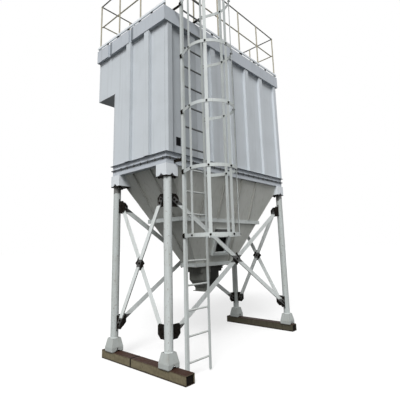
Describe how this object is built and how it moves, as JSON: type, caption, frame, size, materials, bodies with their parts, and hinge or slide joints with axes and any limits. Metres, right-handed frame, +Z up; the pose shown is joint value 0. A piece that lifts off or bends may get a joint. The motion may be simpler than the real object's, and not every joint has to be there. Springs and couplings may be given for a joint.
{
  "type": "dust collector",
  "caption": "Skid-mounted dust collector: ribbed sheet housing with a rear plenum over a pyramid hopper on braced tube legs, with a slide gate, caged ladder and railed roof.",
  "frame": {"origin": "on the ground under the middle of the whole outline, cage and rear plenum included", "axes": "+Z up, +X along the housing with the ladder near the -X end, -Y towards the ladder and cage, +Y towards the rear plenum"},
  "size_m": [3.178, 2.574, 6.05],
  "materials": {
    "housing_paint": "matt light grey paint",
    "frame_paint": "worn light grey paint",
    "hopper_paint": "dusty light grey paint",
    "dark_steel": "dark rusty scale",
    "skid_paint": "worn olive grey paint with a rusty top",
    "gate_steel": "dusty dark grey",
    "rail_steel": "weathered grey paint",
    "roof_paint": "matt light grey paint",
    "black_plate": "bare black plate"
  },
  "bodies": {
    "root": {"wall_front": "housing_paint", "wall_back": "housing_paint", "wall_left": "housing_paint", "wall_right": "housing_paint", "plenum_sides": "housing_paint", "plenum_back": "housing_paint", "plenum_floor": "housing_paint", "fascia_front": "housing_paint", "fascia_back": "housing_paint", "fascia_left": "housing_paint", "fascia_right": "housing_paint", "housing_flange": "housing_paint", "hopper_flange": "housing_paint", "leg_front_left": "frame_paint", "leg_back_left": "frame_paint", "leg_front_right": "frame_paint", "leg_back_right": "frame_paint", "leg_shoes": "frame_paint", "leg_caps": "frame_paint", "brace_front": "frame_paint", "brace_back": "frame_paint", "brace_left": "frame_paint", "brace_right": "frame_paint", "ladder_stiles": "frame_paint", "ladder_rungs": "frame_paint", "ladder_brackets": "frame_paint", "cage_hoops_low": "frame_paint", "cage_hoops_middle": "frame_paint", "cage_hoops_top": "frame_paint", "cage_straps": "frame_paint", "hopper_front": "hopper_paint", "hopper_back": "hopper_paint", "hopper_left": "hopper_paint", "hopper_right": "hopper_paint", "hopper_stiffener": "hopper_paint", "hopper_ribs": "hopper_paint", "outlet_flange": "hopper_paint", "inlet_frame": "hopper_paint", "lower_gussets": "dark_steel", "upper_gussets": "dark_steel", "brace_clamps": "dark_steel", "leg_flanges": "dark_steel", "skid_left": "skid_paint", "skid_right": "skid_paint", "outlet_plate": "gate_steel", "slide_gate": "gate_steel", "discharge_chute": "gate_steel", "railing_posts": "rail_steel", "railing_top_rails": "rail_steel", "railing_mid_rails": "rail_steel", "railing_toe_rails": "rail_steel", "railing_toe_lugs": "rail_steel", "roof_deck": "roof_paint", "name_plate": "black_plate"}
  },
  "joints": []
}
